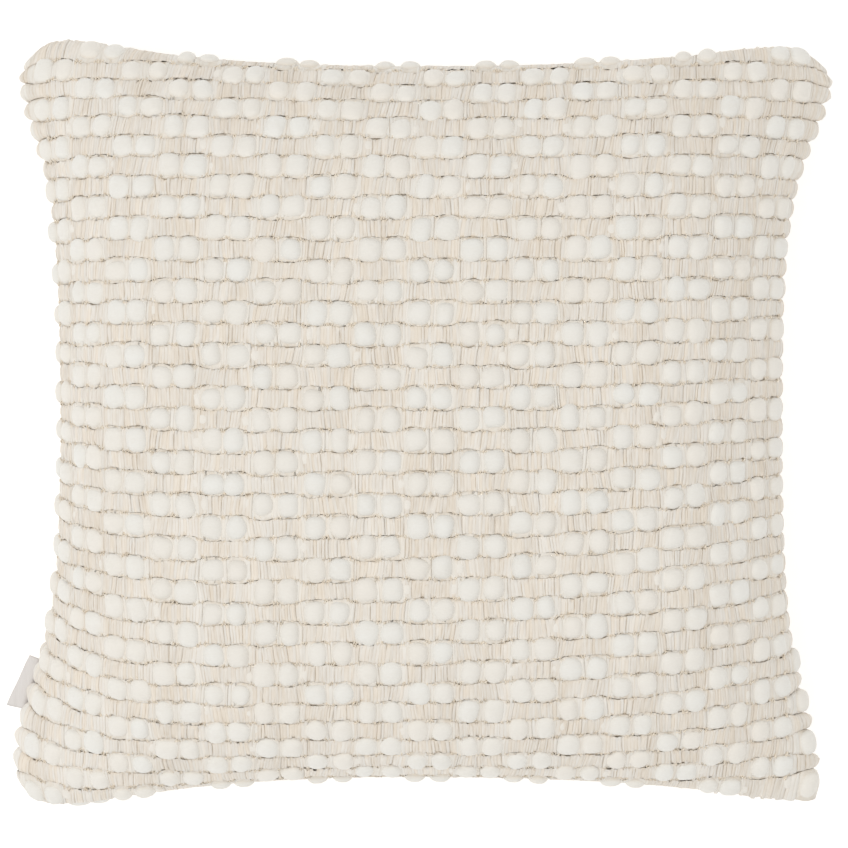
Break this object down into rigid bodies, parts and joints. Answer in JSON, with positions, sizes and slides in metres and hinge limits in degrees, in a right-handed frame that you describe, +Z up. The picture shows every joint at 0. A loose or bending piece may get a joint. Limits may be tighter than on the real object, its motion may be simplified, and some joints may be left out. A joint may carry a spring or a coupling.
{
  "type": "cushion in a bobble cover",
  "caption": "Plump square cushion in an off-white woven cover with cross ribs and staggered pairs of felted bobbles, a plain back and a bare tape tab in one seam.",
  "frame": {"origin": "centre of the bounding box in plan, on the surface the cushion lies on", "axes": "+Z up out of the woven front, +Y towards the top edge of the front, +X to the right of the front"},
  "size_m": [0.4982, 0.4592, 0.1396],
  "materials": {
    "woven_front": "matte cotton ribs with felted wool bobbles",
    "back_cloth": "matte plain-weave cotton",
    "tab_tape": "smooth folded satin tape"
  },
  "bodies": {
    "root": {"cushion": "woven_front", "back_panel": "back_cloth", "side_tab": "tab_tape"}
  },
  "joints": []
}
